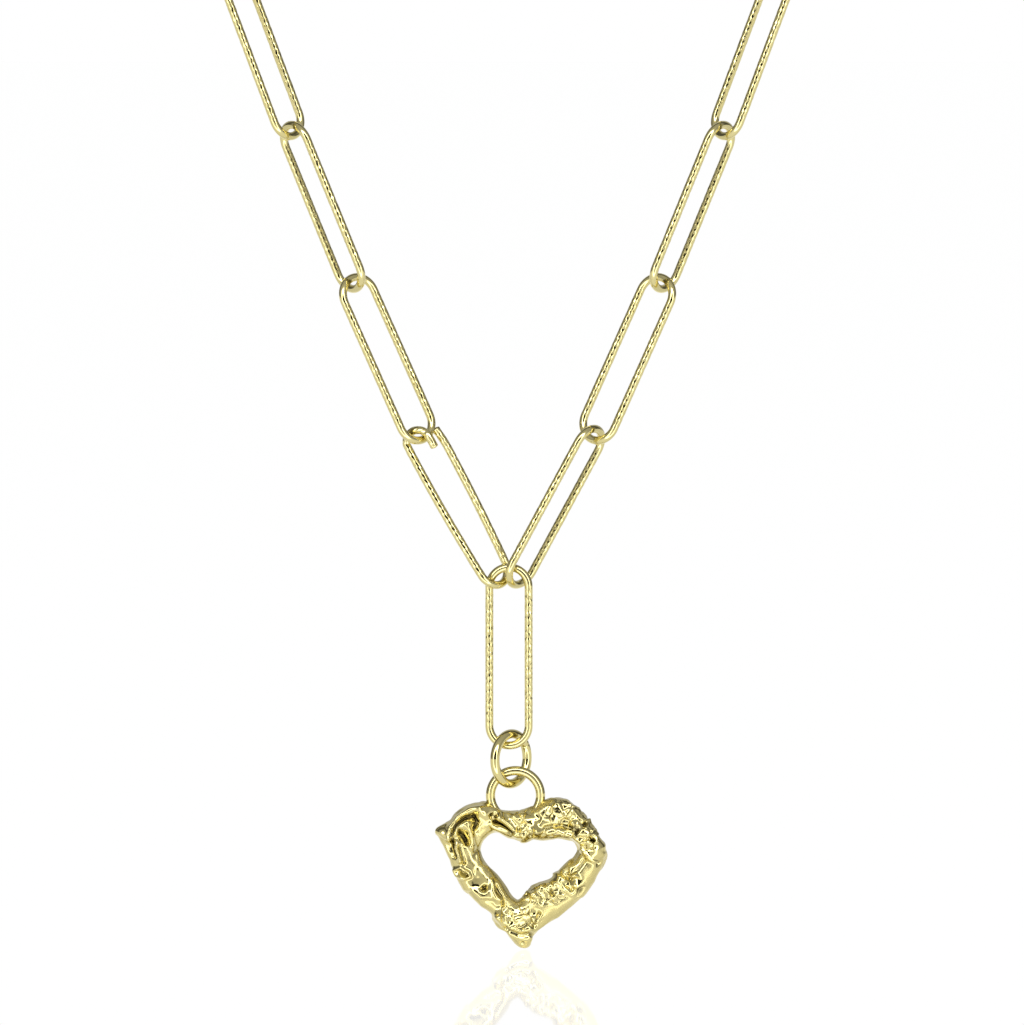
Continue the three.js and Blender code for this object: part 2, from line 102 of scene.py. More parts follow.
# The heart
HEART_DEPTH = 3.2 * MM
HEART_ASIDE = 0.65 * MM  # of the heart's middle from the bail's centre
BAIL_ABOVE_HEART = 6.9 * MM
HEART_DRAWN_IN = 0.06 * MM  # of the plain frame, so that the relief stays inside the CAD box


# ---------------------------------------------------------------------------------------------
# Places taken from the frame
# ---------------------------------------------------------------------------------------------

def corners_of(node):
    """The corners of a CAD node's mesh, each counted once."""
    mesh = frame["nodes"][node].data
    points = np.empty(len(mesh.vertices) * 3)
    mesh.vertices.foreach_get("co", points)
    return np.unique(np.round(points.reshape(-1, 3), 7), axis=0)


def lie_of(node):
    """Where a flat piece lies: its middle, its long direction upwards, its wide direction to the
    right, and the direction square to both. They are the principal axes of its corners."""
    points = corners_of(node)
    mean = points.mean(0)
    _, _, axes = np.linalg.svd(points - mean, full_matrices=False)
    reach = (points - mean) @ axes.T
    middle = mean + (reach.min(0) + reach.max(0)) / 2 @ axes
    along, across = axes[0], axes[1]
    along = along if along[2] > 0 else -along
    across = across if across[0] > 0 else -across
    return middle, along, across, np.cross(along, across)


def pivot_of(joint):
    """Where a joint turns, in the row frame."""
    return np.array(next(j["pos_m"] for j in frame["joints"] if j["name"] == joint))


# ---------------------------------------------------------------------------------------------
# Surfaces
# ---------------------------------------------------------------------------------------------

def unit(vectors):
    return vectors / np.linalg.norm(vectors, axis=-1, keepdims=True)


def grid_faces(rows, columns, closed_rows):
    """Quads of a grid that closes on itself across its columns, and along its rows if asked."""
    row = np.arange(rows if closed_rows else rows - 1)[:, None]
    column = np.arange(columns)[None, :]
    after, right = (row + 1) % rows, (column + 1) % columns
    corners = [row * columns + column, row * columns + right,
               after * columns + right, after * columns + column]
    return np.stack([np.broadcast_to(c, (len(row), columns)) for c in corners], -1).reshape(-1, 4)


def piece_of(name, points, faces, material, body, nodes, more_faces=()):
    """A finished piece from its points and faces, riding on a body in place of its CAD nodes."""
    mesh = bpy.data.meshes.new(name)
    mesh.from_pydata(points.reshape(-1, 3).tolist(), [], faces.tolist() + [list(f) for f in more_faces])
    mesh.polygons.foreach_set("use_smooth", [True] * len(mesh.polygons))
    mesh.materials.append(material)
    mesh.update()
    piece = bpy.data.objects.new(name, mesh)
    bpy.context.scene.collection.objects.link(piece)
    settle_piece(piece, body, nodes)
    return piece


def settle_piece(piece, body, nodes):
    """Hangs a piece on its body and hides the CAD nodes that it stands for."""
    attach(piece, body)
    if nodes:
        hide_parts(*nodes)


def wire_surface(path, reference, radius, closed):
    """A wire along a path: ring i is path[i] + radius[i, k] * (cos a_k * side + sin a_k * over), with
    side = tangent x reference and over = side x tangent. Rows run along the wire."""
    if closed:
        tangent = np.roll(path, -1, 0) - np.roll(path, 1, 0)
    else:
        tangent = np.gradient(path, axis=0)
    tangent = unit(tangent)
    side = unit(np.cross(tangent, reference))
    over = np.cross(side, tangent)
    angle = np.arange(radius.shape[1]) / radius.shape[1] * TURN
    spoke = np.cos(angle)[None, :, None] * side[:, None] + np.sin(angle)[None, :, None] * over[:, None]
    return path[:, None] + radius[:, :, None] * spoke


def evenly(path, step, closed):
    """The same path with its points an even step apart, and the distance along it of each."""
    ends = np.vstack([path, path[:1]]) if closed else path
    reach = np.concatenate([[0], np.cumsum(np.linalg.norm(np.diff(ends, axis=0), axis=1))])
    count = int(round(reach[-1] / step))
    along = np.linspace(0, reach[-1], count, endpoint=not closed)
    return np.stack([np.interp(along, reach, ends[:, k]) for k in range(3)], -1), along, reach[-1]


def round_ends(radius, along, length, end=0.45):
    """Rounds a wire's two cut ends: the radius falls as a quarter circle over the last end of it."""
    reach = end * radius.mean()
    near = np.clip(np.minimum(along, length - along) / reach, 0, 1)
    return radius * np.sqrt(np.clip(1 - (1 - near) ** 2, 0.0, 1))[:, None]


def end_caps(rows, columns):
    """One face over each end of an open wire."""
    first = list(range(columns))[::-1]
    last = [(rows - 1) * columns + k for k in range(columns)]
    return [first, last]


# ---------------------------------------------------------------------------------------------
# Diamond-cut wire
# ---------------------------------------------------------------------------------------------

def cut_radius(along, length, sides, radius, marks, seed, closed=True):
    """The radius of wire with rhombic cuts in staggered rows. A cut's floor is flat across the wire,
    apothem / cos(angle from its middle), and rises along it by hollow * distance^2. Each point
    takes the deeper of the two cuts over it. marks is 1 where the cuts are whole."""
    chance = np.random.RandomState(seed)
    rings = max(1, int(round(length / CUT_PITCH)))
    turns = int(round(length / CUT_DRIFT)) if closed else length / CUT_DRIFT
    angle = np.arange(sides) / sides * TURN
    ring = (along / length * rings)[:, None]
    column = (angle[None] - along[:, None] / length * turns * TURN / CUT_COLUMNS) * CUT_COLUMNS / TURN
    deeper = chance.uniform(-0.016, 0.014, (2, rings + 2, CUT_COLUMNS))
    tilted = chance.uniform(-0.09, 0.09, (2, rings + 2, CUT_COLUMNS))
    pitch = length / rings
    floors = []
    for parity in (0, 1):
        shift = parity * 0.5
        nearest_ring, nearest_column = np.round(ring - shift), np.round(column - shift)
        off_ring = ring - shift - nearest_ring
        off_column = column - shift - nearest_column - CUT_SLANT * off_ring
        which = (np.broadcast_to(nearest_ring % rings, column.shape).astype(int),
                 (nearest_column % CUT_COLUMNS).astype(int))
        flat = (CUT_APOTHEM + deeper[parity][which]) * radius / np.cos(off_column * TURN / CUT_COLUMNS)
        rise = CUT_HOLLOW * (off_ring * pitch) ** 2 + tilted[parity][which] * off_ring * pitch
        floors.append(flat + rise)
    cut = np.minimum(np.minimum(*floors), radius)
    plain = 0.98 * radius
    return plain + (cut - plain) * marks[:, None]


STEP = 0.085 * MM  # between rings of points along the chain wire
SIDES = 40
MARKS_PAST_LEG = 0.4 * MM  # how far past the end of a straight leg the marks reach


def marks_left(reach):
    """How whole the cuts are, reach metres inside the line where they have faded."""
    return CUT_IN_BEND + (1 - CUT_IN_BEND) * np.clip(reach / CUT_FADE, 0, 1)


def catmull_rom(a, b, c, d, share):
    """The curve from b to c, share of the way along, with a before them and d after."""
    bend = (2 * a - 5 * b + 4 * c - d) * share**2
    return 0.5 * (2 * b + (c - a) * share + bend + (3 * b - a - 3 * c + d) * share**3)


def oval_path(span):
    """Two half circles and two straight legs in the XZ plane about the middle, in metres."""
    bend = LINK_MIDDLE / 2
    straight = span / 2 - bend
    arc = np.linspace(0, math.pi, 60)
    top = np.stack([bend * np.cos(arc), 0 * arc, straight + bend * np.sin(arc)], -1)
    low = np.stack([-bend * np.cos(arc), 0 * arc, -straight - bend * np.sin(arc)], -1)
    return np.vstack([top, low]), straight


def oval_link(node, span, seed):
    """One closed link of cut wire, laid on the principal axes of its CAD node."""
    middle, along_axis, across_axis, square_axis = lie_of(node)
    path, straight = oval_path(span + 2 * SETTLE)
    path, along, length = evenly(path, STEP, True)
    marks = marks_left(straight + MARKS_PAST_LEG - np.abs(path[:, 2]))
    radius = cut_radius(along, length, SIDES, WIRE / 2, marks, seed)
    surface = wire_surface(path, np.array([0, 1.0, 0]), radius, True)
    axes = np.stack([across_axis, square_axis * -1, along_axis])
    return middle + surface @ axes, len(path)


def make_link(node, span, seed):
    points, rows = oval_link(node, span, seed)
    faces = grid_faces(rows, SIDES, True)
    piece_of("wire_" + node, points, faces, CHAIN_GOLD, node, [node])


# The link that was opened to thread the drop link on: twisted along its length, squeezed narrower,
# its top bend tighter, its cut end lapped in front of the right leg, whose own end stands free.
OPEN_MIDDLE = 3.5 * MM
OPEN_TWIST = (46.0, -10.0)  # degrees, at its lower and its upper bend
OPEN_TOP_RADIUS = 1.2 * MM
OPEN_TOP_ROOM = 0.12 * MM
OPEN_LAP = 1.3 * MM
OPEN_FREE_END = -0.6 * MM
OPEN_LAP_FORWARD = 0.75 * MM
OPEN_FREE_IN = 0.15 * MM


def smooth_path(corners, step):
    """A Catmull-Rom curve through given corners, its points an even step apart."""
    corners = np.array(corners)
    padded = np.vstack([2 * corners[0] - corners[1], corners, 2 * corners[-1] - corners[-2]])
    share = np.linspace(0, 1, 12, endpoint=False)[None, :, None]
    a, b, c, d = (padded[k:len(padded) - 3 + k][:, None] for k in range(4))
    curve = catmull_rom(a, b, c, d, share)
    return evenly(np.vstack([curve.reshape(-1, 3), corners[-1:]]), step, False)


def open_link_corners():
    """The opened link's wire from its lapped end round to its free end, lower bend's middle at 0."""
    bend = OPEN_MIDDLE / 2
    top_x, top_z = OPEN_TOP_RADIUS - bend, LINK_SPAN + OPEN_TOP_ROOM - OPEN_TOP_RADIUS
    flat = [(top_x + OPEN_TOP_RADIUS, top_z - OPEN_LAP, OPEN_LAP_FORWARD)]
    for share in np.linspace(0, 1, 9):
        angle = share * math.pi
        flat.append((top_x + OPEN_TOP_RADIUS * math.cos(angle), top_z + OPEN_TOP_RADIUS * math.sin(angle),
                     OPEN_LAP_FORWARD * (1 - share) ** 2))
    flat += [(-bend, LINK_SPAN * share, 0) for share in (0.75, 0.5, 0.25)]
    for angle in np.linspace(math.pi, TURN, 9):
        flat.append((bend * math.cos(angle), bend + bend * math.sin(angle), 0))
    flat += [(bend, LINK_SPAN * share, 0) for share in (0.25, 0.5, 0.75, 0.86)]
    flat.append((bend - OPEN_FREE_IN, LINK_SPAN + OPEN_FREE_END, 0))
    x, z, forward = np.array(flat).T
    turn = np.radians(np.interp(z, [0, LINK_SPAN], OPEN_TWIST))
    return np.stack([x * np.cos(turn), x * np.sin(turn) - forward, z], -1)


def make_open_link():
    """The opened link leans as its neighbour across the pendant does, mirrored."""
    middle, along_axis, _, _ = lie_of("right_link_01")
    low = (middle - along_axis * LINK_SPAN / 2) * [-1, 1, 1]
    up = along_axis * [-1, 1, 1]
    across = unit(np.cross([0, -1.0, 0], up)) * -1
    path, along, length = smooth_path(open_link_corners(), STEP)
    end = LINK_MIDDLE / 2 + 0.2 * MM
    marks = marks_left(path[:, 2] - end + CUT_FADE)
    radius = cut_radius(along, length, SIDES, WIRE / 2, marks, 77, closed=False)
    radius = round_ends(radius, along, length)
    surface = wire_surface(path, np.array([0, 1.0, 0]), radius, False)
    points = low + surface @ np.stack([across, np.array([0, 1.0, 0]), up])
    piece_of("wire_left_link_01", points, grid_faces(len(path), SIDES, False), CHAIN_GOLD, "left_link_01",
             ["left_link_01"], end_caps(len(path), SIDES))


# ---------------------------------------------------------------------------------------------
# Polished rings
# ---------------------------------------------------------------------------------------------

SEAM_DEPTH = 0.03 * MM
SEAM_WIDTH = 0.05 * MM
SEAM_GATHER = 0.35  # how strongly rows of points gather at the seam


def ring_surface(centre, normal, middle, wire, seam_at, rows=220, columns=44):
    """A torus about an axis, with a fine butt seam sunk into the wire at one angle."""
    normal = unit(np.asarray(normal, float))
    right = unit(np.cross(normal, [0, 0, 1.0]))
    up = np.cross(right, normal)
    angle = np.arange(rows) / rows * TURN
    angle = angle - SEAM_GATHER * np.sin(angle - seam_at)
    path = centre + middle * (np.cos(angle)[:, None] * right + np.sin(angle)[:, None] * up)
    off = np.angle(np.exp(1j * (angle - seam_at))) * middle
    radius = wire / 2 - SEAM_DEPTH * np.exp(-((off / SEAM_WIDTH) ** 2))
    return wire_surface(path, normal, np.repeat(radius[:, None], columns, 1), True), rows, columns


def make_ring(name, node, body, centre, normal, middle, wire, seam_at):
    points, rows, columns = ring_surface(centre, normal, middle, wire, seam_at)
    piece_of(name, points, grid_faces(rows, columns, True), POLISHED_GOLD, body, [node])


# ---------------------------------------------------------------------------------------------
# Noise on whole arrays of points
# ---------------------------------------------------------------------------------------------

def lattice(cells, seed):
    """A number from 0 to 1 for each whole-numbered cell, the same on every run."""
    x, y, z = (cells[..., k].astype(np.int64) for k in range(3))
    mixed = (x * 73856093) ^ (y * 19349663) ^ (z * 83492791) ^ (seed * 2654435761)
    mixed = (mixed ^ (mixed >> 13)) * 1274126177 & 0xFFFFFFFF
    return ((mixed ^ (mixed >> 16)) & 0xFFFFFF) / float(0xFFFFFF)


def noise(points, cell, seed):
    """Smooth value noise from -1 to 1, with features about one cell across."""
    scaled = points / cell
    base = np.floor(scaled)
    share = scaled - base
    share = share**3 * (share * (share * 6 - 15) + 10)
    total = 0
    for step in np.ndindex(2, 2, 2):
        weight = np.prod(np.where(np.array(step) == 1, share, 1 - share), -1)
        total = total + weight * lattice(base + step, seed)
    return 2 * total - 1


CREASE = 16.0  # how sharply two facets meet
FACET_LEVEL = 0.22  # how far facets differ in height, as a share of a cell
FACET_TILT = 2.0  # how steeply they lean


def crumple(points, cell, seed):
    """Crushed foil: flat facets at chance tilts that meet in creases. Each cell of space holds one
    plane through a chance point, and the height is the mean of the planes round a point, weighted
    by exp(-crease * distance^2), so that the nearest plane all but wins."""
    scaled = points / cell
    base = np.floor(scaled)
    total, weights = 0, 1e-12
    for step in np.ndindex(3, 3, 3):
        cells = base + np.array(step) - 1
        jitter = np.stack([lattice(cells, seed + k) for k in range(3)], -1)
        tilt = np.stack([lattice(cells, seed + 7 + k) - 0.5 for k in range(3)], -1)
        off = scaled - cells - jitter
        plane = (lattice(cells, seed + 11) - 0.5) * FACET_LEVEL + (off * tilt).sum(-1) * FACET_TILT
        weight = np.exp(-CREASE * (off**2).sum(-1))
        total, weights = total + weight * plane, weights + weight
    return total / weights


# ---------------------------------------------------------------------------------------------
# The heart
# ---------------------------------------------------------------------------------------------

# Millimetres about the heart's middle: a point of the outer edge, and of the opening's edge across
# from it, from the dip between the lobes round the left lobe, the tip and the right lobe.
HEART_STATIONS = [
    (-0.6, 5.4, 0.2, 2.1), (-2.2, 5.6, -0.9, 2.45), (-3.4, 6.25, -2.2, 3.2), (-5.3, 6.1, -3.0, 3.15),
    (-6.7, 5.3, -3.6, 2.8), (-7.5, 4.2, -3.9, 2.2), (-8.5, 3.3, -4.0, 1.7), (-7.9, 1.9, -3.95, 1.2),
    (-7.4, 0.4, -3.8, 0.6), (-6.7, -1.2, -3.2, -0.3), (-5.7, -2.8, -2.5, -1.0), (-4.3, -4.1, -2.0, -1.6),
    (-3.1, -5.0, -1.5, -2.3), (-2.6, -6.1, -1.1, -2.9), (-1.5, -7.2, -0.7, -3.3), (-0.1, -8.35, -0.4, -3.5),
    (0.8, -8.2, 0.0, -3.3), (1.2, -7.2, 0.4, -2.9), (2.6, -6.1, 1.0, -2.2), (4.4, -4.7, 2.0, -1.8),
    (5.9, -3.4, 2.9, -1.4), (7.1, -1.7, 3.8, -0.5), (8.2, -0.2, 4.6, 0.3), (8.5, 0.9, 5.2, 0.9),
    (8.1, 2.1, 5.5, 1.5), (7.1, 3.9, 5.1, 2.15), (5.9, 5.3, 4.3, 2.4), (4.7, 6.4, 3.6, 2.5),
    (3.5, 6.85, 2.9, 2.35), (2.2, 6.5, 2.2, 2.3), (1.0, 5.75, 1.2, 2.4),
]
HEART_ROWS = 680
HEART_COLUMNS = 140

# Folds pushed up or pressed in with a tool: half-width and height, then the line it follows.
FOLDS = [
    (0.34, 0.50, [(-7.3, 2.6), (-7.1, 3.7), (-6.3, 4.7), (-5.3, 5.4), (-4.3, 5.5)]),
    (0.24, -0.50, [(-7.2, 3.0), (-6.6, 4.1), (-5.7, 4.8), (-4.9, 5.0), (-4.6, 4.3), (-4.9, 3.6)]),
    (0.40, 0.46, [(-6.6, 3.1), (-6.0, 4.0), (-5.4, 4.3)]),
    (0.26, -0.50, [(-6.2, 3.4), (-5.9, 2.8), (-5.5, 2.2)]),
    (0.34, 0.42, [(-5.4, 3.6), (-5.1, 2.8), (-5.0, 1.8)]),
    (0.24, -0.50, [(-7.1, 2.6), (-7.0, 1.8), (-6.8, 1.0)]),
    (0.32, 0.44, [(-6.6, 2.3), (-6.4, 1.4), (-6.2, 0.5)]),
    (0.20, -0.36, [(-6.2, 1.9), (-6.1, 1.1), (-5.8, 0.3)]),
    (0.18, 0.34, [(-6.7, -0.4), (-6.2, -0.2), (-5.5, -0.6), (-5.2, -1.1), (-5.7, -1.3), (-6.4, -0.9),
                  (-6.7, -0.4)]),
    (0.22, -0.34, [(-6.3, -0.5), (-5.6, -1.0)]),
    (0.26, -0.56, [(-2.6, 4.4), (-1.9, 3.8), (-1.2, 3.1)]),
    (0.34, 0.26, [(-3.0, 4.0), (-2.1, 3.5), (-1.4, 2.9)]),
    (0.30, 0.22, [(-2.3, 4.9), (-1.4, 4.1), (-0.8, 3.2)]),
    (0.16, -0.28, [(-2.6, -2.0), (-2.3, -2.7), (-1.9, -3.4), (-1.9, -4.1)]),
    (0.28, 0.20, [(-3.1, -1.6), (-2.8, -2.6), (-2.3, -3.6)]),
    (0.18, -0.30, [(1.8, -4.9), (1.4, -5.6), (1.2, -6.0)]),
    (0.30, 0.24, [(-2.4, -5.3), (-1.3, -6.1), (0.2, -6.4), (1.2, -6.2)]),
    (0.22, -0.24, [(-1.6, -6.3), (-0.4, -6.9), (0.9, -6.8)]),
    (0.30, 0.26, [(2.6, 3.2), (3.8, 3.3), (5.0, 2.9), (5.9, 2.3)]),
    (0.18, -0.26, [(2.4, 3.8), (3.9, 3.9), (5.4, 3.3)]),
    (0.24, 0.24, [(6.0, 1.6), (6.7, 0.7), (7.5, 0.4)]),
    (0.18, -0.22, [(6.2, 0.6), (5.6, -0.3), (4.7, -0.9)]),
    (0.26, 0.26, [(3.3, -0.9), (4.5, -1.5), (5.4, -2.2)]),
]

# Dents and knobs: middle, half-width, height.
SPOTS = [
    (-3.8, -2.4, 0.30, -0.50), (-4.6, -1.5, 0.8, -0.16), (-4.9, -3.2, 0.9, 0.12), (-4.4, 1.4, 0.7, -0.2),
    (-3.7, 5.3, 0.5, 0.30), (-2.9, 5.0, 0.35, -0.34), (-2.4, 4.6, 0.28, 0.3), (0.1, 3.1, 0.5, 0.34),
    (1.5, 3.5, 0.5, 0.34), (0.8, 2.9, 0.28, -0.26), (-0.4, 3.5, 0.26, -0.28), (-2.3, -5.1, 0.45, 0.3),
    (-1.2, -6.7, 0.4, 0.26), (0.1, -7.8, 0.22, -0.2), (0.6, -7.2, 0.5, 0.14), (7.7, 0.1, 0.26, -0.3),
    (6.9, 1.3, 0.7, 0.16), (1.2, -2.9, 0.45, 0.34), (2.0, -2.3, 0.36, 0.3), (2.8, -2.1, 0.42, 0.34),
    (3.7, -1.6, 0.42, 0.36), (1.9, -3.3, 0.3, -0.26), (3.1, -2.7, 0.36, -0.2), (4.7, -1.7, 0.5, -0.34),
    (-8.3, 3.3, 0.5, 0.2), (8.2, 2.0, 0.4, 0.2), (4.6, 6.3, 0.5, 0.2), (6.3, 4.7, 0.5, 0.2),
]

# Where the wax was crushed: middle, half-widths across and up, how deep, and the facets' size.
CRUSHED = [
    (3.6, 5.4, 1.6, 1.1, 0.50, 1.05), (5.4, 4.4, 1.5, 1.3, 0.52, 1.15), (4.4, 3.4, 2.0, 0.7, 0.36, 0.9),
    (6.8, 2.6, 0.9, 1.0, 0.44, 0.8), (2.3, -3.0, 2.0, 0.9, 0.34, 0.66), (5.1, -1.8, 1.1, 1.2, 0.60, 1.35),
    (-0.3, -5.3, 2.1, 1.2, 0.48, 1.0), (-5.9, 4.0, 1.6, 1.3, 0.20, 1.5), (0.5, 3.3, 1.7, 0.8, 0.38, 0.85),
    (0.2, 4.7, 1.9, 0.7, 0.40, 1.5), (-4.6, -2.2, 1.3, 1.5, 0.14, 1.8),
]
DEEPEST = 0.45  # a hollow this deep gets the full painted shade in its bottom
PLANES = (0.34, 2.6)  # the depth and the size of the broad planes that the wax was pared to


def closed_curve(column, count):
    """A Catmull-Rom loop through one column of the stations, its points evenly spread."""
    corners = np.array(HEART_STATIONS)[:, column:column + 2] * MM
    a, b, c, d = (np.roll(corners, 1 - k, 0)[:, None] for k in range(4))
    share = (np.arange(24) / 24)[None, :, None]
    curve = catmull_rom(a, b, c, d, share).reshape(-1, 2)
    stations = np.linspace(0, len(curve), count, endpoint=False)
    wrapped = np.vstack([curve, curve[:1]])
    return np.stack([np.interp(stations, np.arange(len(wrapped)), wrapped[:, k]) for k in range(2)], -1)


def section(count):
    """The frame's section as (share from opening to outer edge, share of half the depth towards the
    back): a superellipse whose front is crowned and whose back is flat."""
    angle = np.arange(count) / count * TURN
    wide = np.sign(np.cos(angle)) * np.abs(np.cos(angle)) ** 0.80
    deep = np.sign(np.sin(angle)) * np.abs(np.sin(angle)) ** np.where(np.sin(angle) > 0, 0.42, 0.86)
    return 0.5 + 0.5 * wide, deep


def distance_to(line, x, z):
    """How far each point is from a line of straight stretches, as whole arrays."""
    nearest = np.full(x.shape, 1e9)
    for (ax, az), (bx, bz) in zip(line[:-1], line[1:]):
        dx, dz = bx - ax, bz - az
        share = np.clip(((x - ax) * dx + (z - az) * dz) / (dx * dx + dz * dz), 0, 1)
        nearest = np.minimum(nearest, np.hypot(x - ax - share * dx, z - az - share * dz))
    return nearest


def relief(points):
    """How far the worked wax stands out of the plain frame, in metres, and how worked and how sunk
    it is, from 0 to 1. The height is the sum of broad planes, folds, spots and crushed patches near
    a point, which fade to nothing at the flat back. A fold's height is
    tall * exp(-(distance / wide)^2)."""
    x, y, z = (points[..., k] / MM for k in range(3))
    bend_x = x + 0.14 * noise(points, 0.9 * MM, 3)
    bend_z = z + 0.14 * noise(points, 0.9 * MM, 4)
    height = 0.05 * noise(points, 2.2 * MM, 5) + 0.03 * noise(points, 0.8 * MM, 6)
    height += PLANES[0] * crumple(points, PLANES[1] * MM, 21)
    # sunk is the mask of the painted shade that darkens the bottoms of folds, dents and crushed hollows.
    worked, sunk = np.zeros(x.shape), np.zeros(x.shape)
    for wide, tall, line in FOLDS:
        away = distance_to(line, bend_x, bend_z) / wide
        height += tall * np.exp(-(away**2))
        sunk = np.maximum(sunk, max(0, -tall) / DEEPEST * np.exp(-((1.5 * away) ** 2)))
        worked = np.maximum(worked, np.exp(-((away / 2.4) ** 2)))
    for sx, sz, wide, tall in SPOTS:
        away = ((bend_x - sx) ** 2 + (bend_z - sz) ** 2) / wide**2
        height += tall * np.exp(-away)
        sunk = np.maximum(sunk, max(0, -tall) / DEEPEST * np.exp(-2 * away))
        worked = np.maximum(worked, np.exp(-away / 3))
    for sx, sz, across, up, deep, cell in CRUSHED:
        reach = ((x - sx) / across) ** 2 + ((z - sz) / up) ** 2
        patch = np.clip(1.5 - reach, 0, 1)
        seed = int(10 * sx + 7 * sz + 200)
        foil = crumple(points, cell * MM, seed) + 0.14 * crumple(points, 0.45 * cell * MM, seed + 50)
        height += deep * patch * foil
        sunk = np.maximum(sunk, np.clip(-foil - 0.28, 0, 0.3) / 0.3 * patch)
        worked = np.maximum(worked, patch * min(1, deep / 0.3))
    back = np.clip((HEART_DEPTH / 2 / MM - y) / 1.5, 0, 1)
    front = np.clip(0.4 - y, 0, 1)
    return height * back * MM, worked * back, np.clip(sunk, 0, 1) * front


def heart_points():
    """The section carried round the frame, then moved out along its own normals by the relief, and
    how worked and how sunk each point is."""
    outer, inner = closed_curve(0, HEART_ROWS), closed_curve(2, HEART_ROWS)
    share, deep = section(HEART_COLUMNS)
    flat = inner[:, None] + (outer - inner)[:, None] * share[None, :, None]
    y = np.broadcast_to(deep * HEART_DEPTH / 2, flat.shape[:2])
    points = np.stack([flat[..., 0], y, flat[..., 1]], -1)
    round_it = np.roll(points, -1, 0) - np.roll(points, 1, 0)
    across_it = np.roll(points, -1, 1) - np.roll(points, 1, 1)
    normal = unit(np.cross(across_it, round_it))
    outward = (normal * (points - points.mean(1, keepdims=True))).sum(-1).mean()
    normal = normal if outward > 0 else -normal
    height, worked, sunk = relief(points)
    return points + normal * (height - HEART_DRAWN_IN)[..., None], worked, sunk


def make_heart():
    bail_top = pivot_of("heart_swing")
    middle = bail_top - [-HEART_ASIDE, 0, RING_MIDDLE + BAIL_ABOVE_HEART]
    shape, worked, sunk = heart_points()
    points = middle + shape
    faces = outward_faces(points.reshape(-1, 3), grid_faces(HEART_ROWS, HEART_COLUMNS, True))
    piece = piece_of("cast_heart", points, faces, CAST_GOLD, "heart", ["heart"])
    # sunk carries the mask of the painted shade in the folds to the material.
    for label, values in (("worked", worked), ("sunk", sunk)):
        piece.data.attributes.new(label, "FLOAT", "POINT").data.foreach_set("value", values.ravel())


def outward_faces(points, faces):
    """The faces, turned over if the body that they close comes out inside out."""
    a, b, c, d = (points[faces[:, k]] - points.mean(0) for k in range(4))
    volume = (a * np.cross(b, c)).sum() + (a * np.cross(c, d)).sum()
    return faces if volume > 0 else faces[:, ::-1]


# ---------------------------------------------------------------------------------------------
# The clasp
# ---------------------------------------------------------------------------------------------

SPRING_WIRE = 0.18 * MM
SPRING_TURNS = 3.5
SPRING_ROWS, SPRING_SIDES = 400, 14
DOME_ROWS, RIVET_SIDES = 9, 28
DOME = 0.06 * MM  # how far each of the rivet's heads stands out


def softened(name, node, material, body, voxel, rounds):
    """A casting with its corners rounded: the CAD node's solid as even small faces, then smoothed."""
    mesh = frame["nodes"][node].data.copy()
    mesh.name = name
    piece = bpy.data.objects.new(name, mesh)
    bpy.context.scene.collection.objects.link(piece)
    weld = piece.modifiers.new("weld", "WELD")
    weld.merge_threshold = 2e-6
    even = piece.modifiers.new("even", "REMESH")
    even.mode = "VOXEL"
    even.voxel_size = voxel
    smooth = piece.modifiers.new("smooth", "SMOOTH")
    smooth.factor = 0.5
    smooth.iterations = rounds
    bpy.context.view_layer.update()
    finished = bpy.data.meshes.new_from_object(piece.evaluated_get(bpy.context.evaluated_depsgraph_get()))
    piece.modifiers.clear()
    piece.data = finished
    finished.name = name
    finished.materials.clear()
    finished.materials.append(material)
    finished.polygons.foreach_set("use_smooth", [True] * len(finished.polygons))
    settle_piece(piece, body, [node])
    return piece


def make_spring():
    """The coil along X between the two ends of its CAD solid."""
    low, high = (np.array(corner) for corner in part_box("clasp_spring"))
    middle = (low + high) / 2
    coil = (high[2] - low[2] - SPRING_WIRE) / 2
    share = np.linspace(0, 1, SPRING_ROWS)
    angle = share * SPRING_TURNS * TURN
    x = low[0] + SPRING_WIRE / 2 + share * (high[0] - low[0] - SPRING_WIRE)
    path = np.stack([x, middle[1] + coil * np.cos(angle), middle[2] + coil * np.sin(angle)], -1)
    radius = round_ends(np.full((SPRING_ROWS, SPRING_SIDES), SPRING_WIRE / 2), share, 1.0, 100.0)
    points = wire_surface(path, np.array([1.0, 0, 0]), radius, False)
    piece = piece_of("coil_spring", points, grid_faces(SPRING_ROWS, SPRING_SIDES, False), SPRING_STEEL,
                     "clasp", ["clasp_spring"], end_caps(SPRING_ROWS, SPRING_SIDES))
    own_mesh(piece)


def make_rivet():
    """A round pin across the clasp, its two heads domed: radius against distance from the middle."""
    low, high = (np.array(corner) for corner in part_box("clasp_rivet"))
    middle, half = (low + high) / 2, (high[1] - low[1]) / 2
    radius = (high[2] - low[2]) / 2
    rows = 2 * DOME_ROWS
    dome = np.linspace(0, math.pi / 2, DOME_ROWS)
    reach = np.concatenate([-half - DOME * np.cos(dome), half + DOME * np.cos(dome[::-1])])
    wide = np.concatenate([np.sin(dome), np.sin(dome[::-1])]) * radius
    path = np.stack([np.full(rows, middle[0]), middle[1] + reach, np.full(rows, middle[2])], -1)
    wide = np.repeat(np.maximum(wide, 1e-5)[:, None], RIVET_SIDES, 1)
    points = wire_surface(path, np.array([0, 0, 1.0]), wide, False)
    piece_of("pivot_rivet", points, grid_faces(rows, RIVET_SIDES, False), POLISHED_GOLD, "clasp",
             ["clasp_rivet"], end_caps(rows, RIVET_SIDES))


# ---------------------------------------------------------------------------------------------
# Materials
# ---------------------------------------------------------------------------------------------

